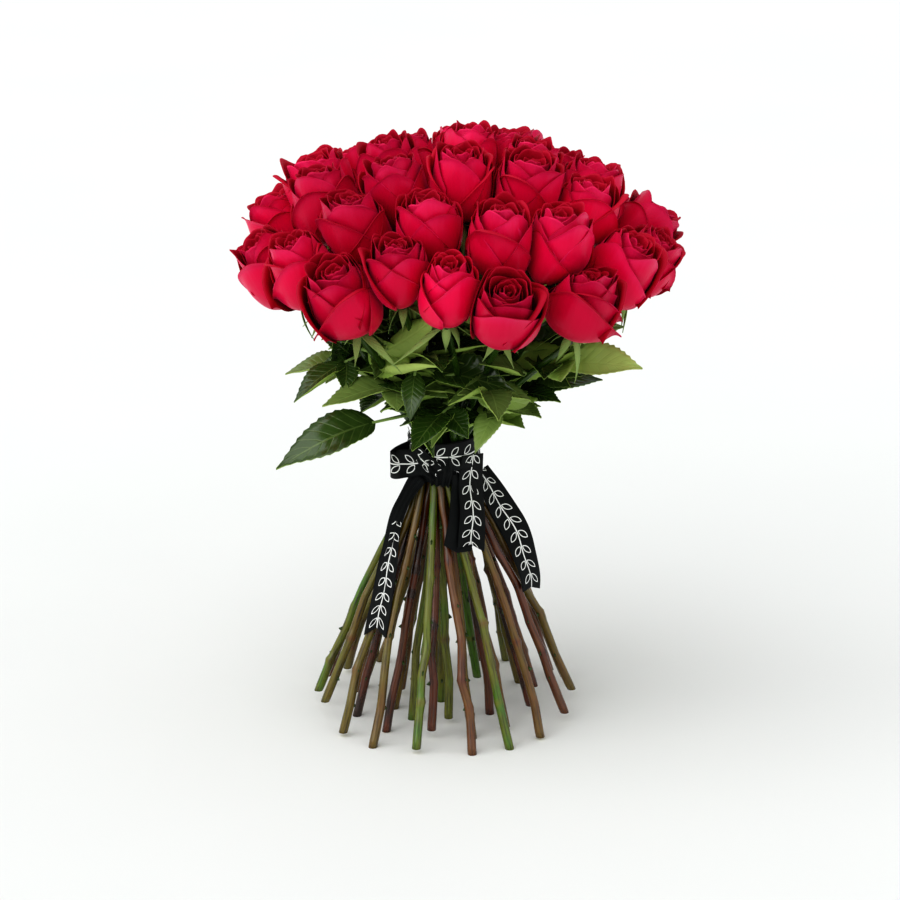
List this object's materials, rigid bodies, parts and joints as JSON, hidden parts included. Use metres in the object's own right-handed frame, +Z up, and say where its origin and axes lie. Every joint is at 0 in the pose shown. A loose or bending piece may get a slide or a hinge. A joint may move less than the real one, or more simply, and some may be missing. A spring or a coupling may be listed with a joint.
{
  "type": "bunch of roses",
  "caption": "Hand-tied spiral bunch of red roses with a leaf collar, tied with a printed dark ribbon, standing on its splayed cut stems.",
  "frame": {"origin": "middle of the bounding box at the surface that the cut stems stand on", "axes": "+Z up out of the blooms, -Y towards the front, where the ribbon is knotted"},
  "size_m": [0.3846, 0.3746, 0.5189],
  "materials": {
    "rose_petal": "velvety matte",
    "stem_and_leaf": "satin, waxy",
    "printed_ribbon": "matte weave with a white vine print"
  },
  "bodies": {
    "root": {"bloom_01": "rose_petal", "bloom_02": "rose_petal", "bloom_03": "rose_petal", "bloom_04": "rose_petal", "bloom_05": "rose_petal", "bloom_06": "rose_petal", "bloom_07": "rose_petal", "bloom_08": "rose_petal", "bloom_09": "rose_petal", "bloom_10": "rose_petal", "bloom_11": "rose_petal", "bloom_12": "rose_petal", "bloom_13": "rose_petal", "bloom_14": "rose_petal", "bloom_15": "rose_petal", "bloom_16": "rose_petal", "bloom_17": "rose_petal", "bloom_18": "rose_petal", "bloom_19": "rose_petal", "bloom_20": "rose_petal", "bloom_21": "rose_petal", "bloom_22": "rose_petal", "bloom_23": "rose_petal", "bloom_24": "rose_petal", "bloom_25": "rose_petal", "bloom_26": "rose_petal", "bloom_27": "rose_petal", "bloom_28": "rose_petal", "bloom_29": "rose_petal", "bloom_30": "rose_petal", "bloom_31": "rose_petal", "bloom_32": "rose_petal", "bloom_33": "rose_petal", "bloom_34": "rose_petal", "bloom_35": "rose_petal", "bloom_36": "rose_petal", "bloom_37": "rose_petal", "bloom_38": "rose_petal", "bloom_39": "rose_petal", "bloom_40": "rose_petal", "ribbon_band": "printed_ribbon", "ribbon_tail_left": "printed_ribbon", "ribbon_tail_middle": "printed_ribbon", "ribbon_tail_right": "printed_ribbon", "stems_heart": "stem_and_leaf", "stems_inner_a": "stem_and_leaf", "stems_inner_b": "stem_and_leaf", "stems_inner_c": "stem_and_leaf", "stems_inner_d": "stem_and_leaf", "stems_outer_a": "stem_and_leaf", "stems_outer_b": "stem_and_leaf", "stems_outer_c": "stem_and_leaf", "stems_outer_d": "stem_and_leaf", "stems_outer_e": "stem_and_leaf", "stems_outer_f": "stem_and_leaf"}
  },
  "joints": []
}
